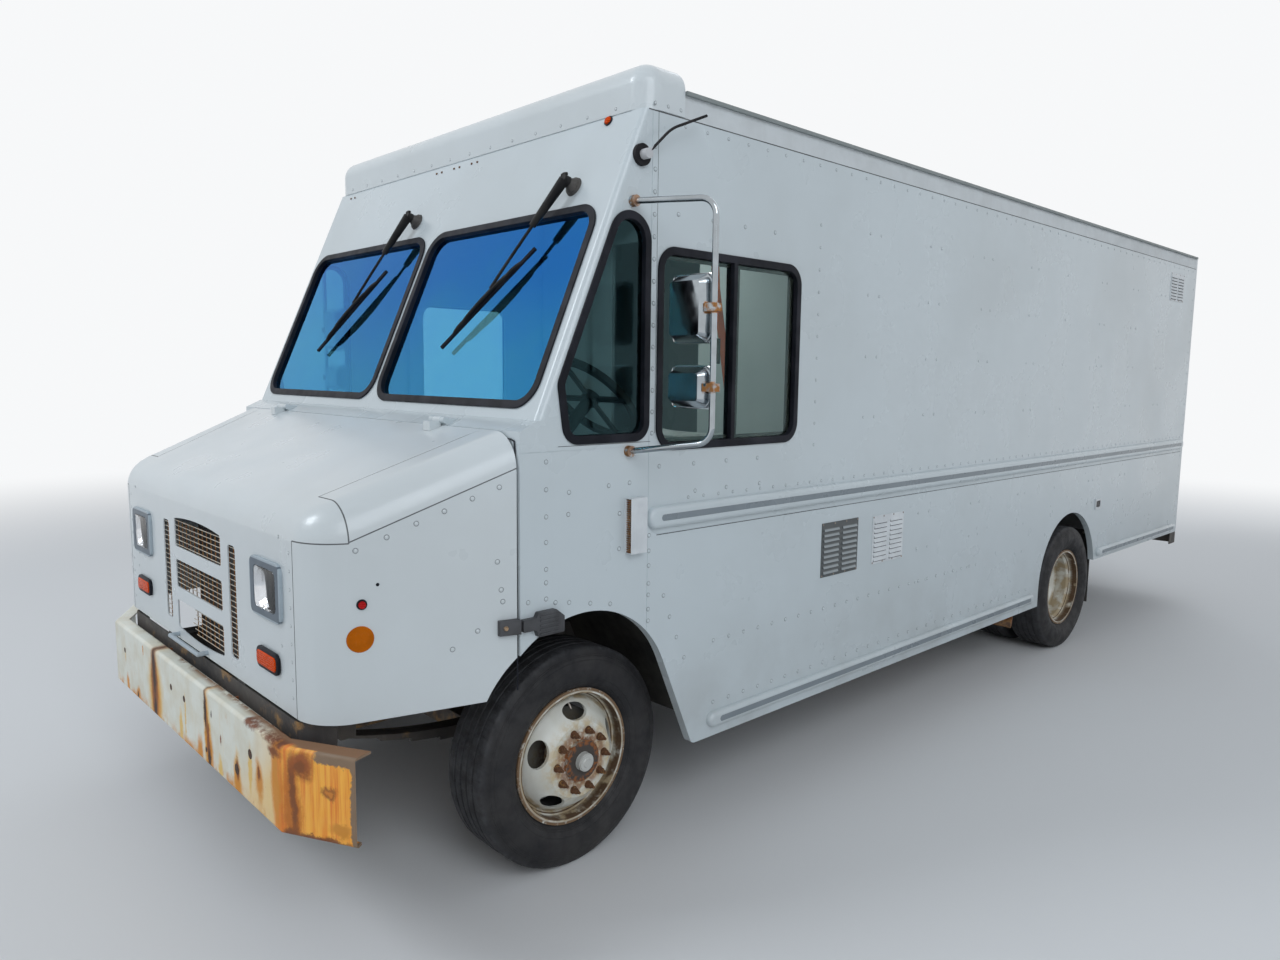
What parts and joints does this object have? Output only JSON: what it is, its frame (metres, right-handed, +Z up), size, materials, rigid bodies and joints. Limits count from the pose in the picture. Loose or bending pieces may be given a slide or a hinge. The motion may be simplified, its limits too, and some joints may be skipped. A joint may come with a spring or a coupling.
{
  "type": "delivery truck",
  "caption": "Walk-in delivery van with a sloped hood, upright box body, twin rear wheels, tilting hood, sliding side door and swinging rear doors.",
  "frame": {"origin": "on the ground, under the middle of the overall length and width", "axes": "+Z up, the front faces -Y, the truck's left side is +X"},
  "size_m": [3.032, 7.795, 2.9579],
  "materials": {
    "body_paint": "white paint, chalky, thin dirt",
    "hood_shell": "white moulded shell",
    "chassis_black": "black paint with dust",
    "cast_metal": "dark cast metal",
    "worn_bumper": "worn white paint with heavy rust",
    "tyre_rubber": "worn black rubber",
    "wheel_paint": "white paint with rust stains",
    "seal_rubber": "black rubber",
    "window_glass": "clear glass",
    "lamp_glass": "clear lens",
    "trim_black": "black moulded trim",
    "steel": "dull steel",
    "bright_metal": "bright plated metal",
    "bare_alloy": "bare sheet",
    "cab_plastic": "grey moulded plastic",
    "seat_cover": "grey cover"
  },
  "bodies": {
    "truck": {"antenna": "trim_black", "bulkhead": "bare_alloy", "cab_glass": "window_glass", "cowl": "body_paint", "dashboard": "cab_plastic", "driveshaft": "chassis_black", "engine": "cast_metal", "engine_cover": "cab_plastic", "exhaust": "steel", "floor": "bare_alloy", "frame_rails": "chassis_black", "front_axle": "cast_metal", "front_bumper": "worn_bumper", "front_wall": "body_paint", "fuel_tank": "chassis_black", "latch_straps": "seal_rubber", "leaf_springs": "chassis_black", "left_wall": "body_paint", "mirrors": "bright_metal", "mudflaps": "seal_rubber", "radiator": "chassis_black", "rear_axle": "cast_metal", "rear_frame": "body_paint", "rear_step": "chassis_black", "right_wall": "body_paint", "roof": "body_paint", "roof_cap": "hood_shell", "rub_rails": "body_paint", "seat_base": "chassis_black", "seat_cushions": "seat_cover", "side_vents": "body_paint", "steering_column": "trim_black", "step_well": "bare_alloy", "wheel_boxes": "bare_alloy", "wheelhouses": "chassis_black", "window_seals": "seal_rubber", "wipers": "trim_black"},
    "hood": {"hood": "hood_shell", "grille": "trim_black", "front_lamps": "lamp_glass", "hood_trim": "bright_metal", "hood_latches": "seal_rubber"},
    "left_knuckle": {"knuckle_left": "cast_metal"},
    "right_knuckle": {"knuckle_right": "cast_metal"},
    "tie_rod": {"track_rod": "steel"},
    "hand_wheel": {"steering_wheel": "trim_black"},
    "wheel_front_left": {"front_left_tyre": "tyre_rubber", "front_left_wheel": "wheel_paint"},
    "wheel_front_right": {"front_right_tyre": "tyre_rubber", "front_right_wheel": "wheel_paint"},
    "wheels_rear_left": {"rear_left_tyres": "tyre_rubber", "rear_left_wheels": "wheel_paint"},
    "wheels_rear_right": {"rear_right_tyres": "tyre_rubber", "rear_right_wheels": "wheel_paint"},
    "cab_door": {"side_door": "body_paint", "side_door_glass": "window_glass"},
    "cargo_door_left": {"rear_door_left": "body_paint", "rear_glass_left": "window_glass"},
    "cargo_door_right": {"rear_door_right": "body_paint", "rear_glass_right": "window_glass"}
  },
  "joints": [
    {"name": "steer_left", "type": "hinge", "parent": "truck", "child": "left_knuckle", "pos_m": [0.835, -2.8425, 0.4225], "axis": [0, 0, 1], "range_deg": [-35, 35]},
    {"name": "steer_right", "type": "hinge", "parent": "truck", "child": "right_knuckle", "pos_m": [-0.835, -2.8425, 0.4225], "axis": [0, 0, 1], "range_deg": [-35, 35]},
    {"name": "tie_rod_pivot", "type": "hinge", "parent": "left_knuckle", "child": "tie_rod", "pos_m": [0.835, -2.6925, 0.29], "axis": [0, 0, 1], "range_deg": [-35, 35]},
    {"name": "hand_wheel_turn", "type": "hinge", "parent": "truck", "child": "hand_wheel", "pos_m": [0.55, -2.3625, 1.735], "axis": [0, 0.7071, 0.7071], "range_deg": [-630, 630]},
    {"name": "spin_front_left", "type": "hinge", "parent": "left_knuckle", "child": "wheel_front_left", "pos_m": [0.949, -2.8425, 0.4225], "axis": [1, 0, 0], "continuous": true},
    {"name": "spin_front_right", "type": "hinge", "parent": "right_knuckle", "child": "wheel_front_right", "pos_m": [-0.949, -2.8425, 0.4225], "axis": [1, 0, 0], "continuous": true},
    {"name": "spin_rear_left", "type": "hinge", "parent": "truck", "child": "wheels_rear_left", "pos_m": [0.9185, 1.4475, 0.4225], "axis": [1, 0, 0], "continuous": true},
    {"name": "spin_rear_right", "type": "hinge", "parent": "truck", "child": "wheels_rear_right", "pos_m": [-0.9185, 1.4475, 0.4225], "axis": [1, 0, 0], "continuous": true},
    {"name": "hood_tilt", "type": "hinge", "parent": "truck", "child": "hood", "pos_m": [0, -3.1945, 1.684], "axis": [-1, 0, 0], "range_deg": [0, 55]},
    {"name": "cab_door_slide", "type": "slide", "parent": "truck", "child": "cab_door", "axis": [0, 1, 0], "range_m": [0, 0.7]},
    {"name": "cargo_door_left_swing", "type": "hinge", "parent": "truck", "child": "cargo_door_left", "pos_m": [1.098, 3.7695, 1.76], "axis": [0, 0, -1], "range_deg": [0, 180]},
    {"name": "cargo_door_right_swing", "type": "hinge", "parent": "truck", "child": "cargo_door_right", "pos_m": [-1.098, 3.7695, 1.76], "axis": [0, 0, 1], "range_deg": [0, 180]}
  ],
  "couplings": [
    {"joint": "steer_right", "follows": "steer_left", "ratio": 1},
    {"joint": "tie_rod_pivot", "follows": "steer_left", "ratio": -1},
    {"joint": "hand_wheel_turn", "follows": "steer_left", "ratio": 18}
  ]
}
